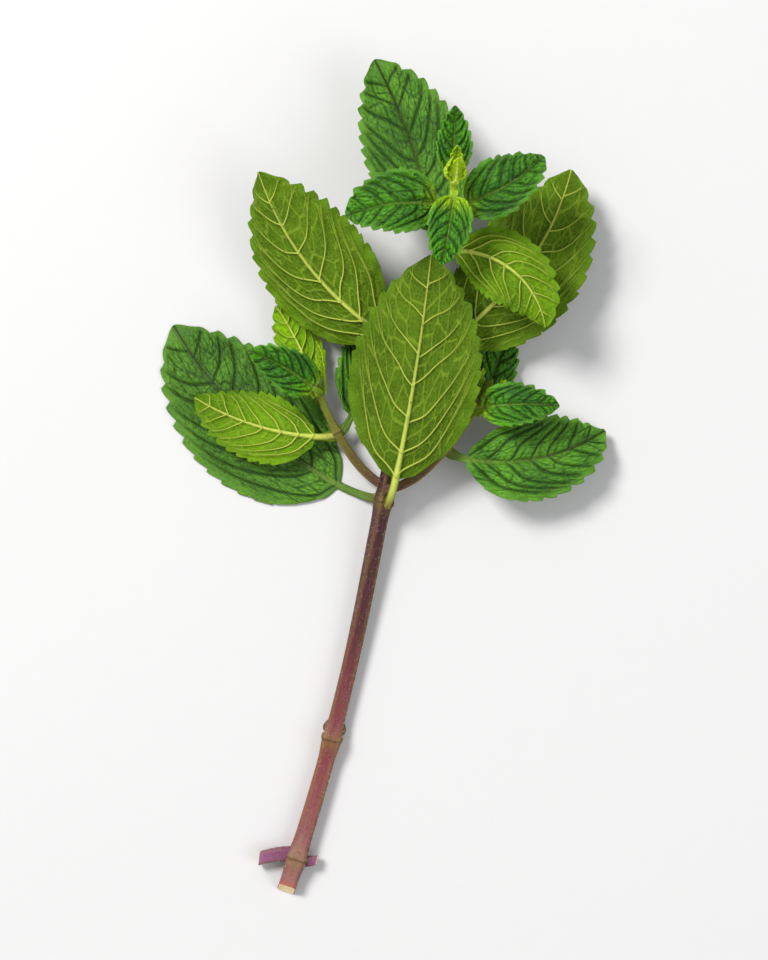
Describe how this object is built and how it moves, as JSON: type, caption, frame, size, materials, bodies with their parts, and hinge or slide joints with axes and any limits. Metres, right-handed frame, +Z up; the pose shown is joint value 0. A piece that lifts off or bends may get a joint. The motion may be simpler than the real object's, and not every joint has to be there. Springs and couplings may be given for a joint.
{
  "type": "mint sprig",
  "caption": "Cut sprig of mint lying flat: a square stalk with opposite pairs of toothed leaves, two side shoots and an upturned young tip.",
  "frame": {"origin": "bottom centre of the sprig's box, on the surface that it lies on", "axes": "+Y from the cut end towards the leafy tip, +Z up, +X to the right seen from above"},
  "size_m": [0.0844, 0.1556, 0.0308],
  "materials": {
    "stalk": "satin",
    "shoot_stalk": "satin",
    "leaf": "satin",
    "young_leaf": "satin"
  },
  "bodies": {
    "root": {"stem": "stalk", "left_shoot": "shoot_stalk", "right_shoot": "shoot_stalk", "left_stub": "stalk", "right_stub": "stalk", "leaf_2_front": "leaf", "leaf_2_back": "leaf", "leaf_3_right": "leaf", "leaf_3_left": "leaf", "leaf_4_front": "leaf", "leaf_4_back": "leaf", "leaf_5_left": "leaf", "leaf_5_right": "leaf", "leaf_6_front": "young_leaf", "leaf_6_back": "young_leaf", "leaf_7_left": "young_leaf", "leaf_7_right": "young_leaf", "left_shoot_leaf_1_left": "leaf", "left_shoot_leaf_1_right": "leaf", "left_shoot_leaf_2_front": "young_leaf", "left_shoot_leaf_2_back": "young_leaf", "right_shoot_leaf_1_right": "leaf", "right_shoot_leaf_1_left": "leaf", "right_shoot_leaf_2_front": "young_leaf", "right_shoot_leaf_2_back": "young_leaf"}
  },
  "joints": []
}
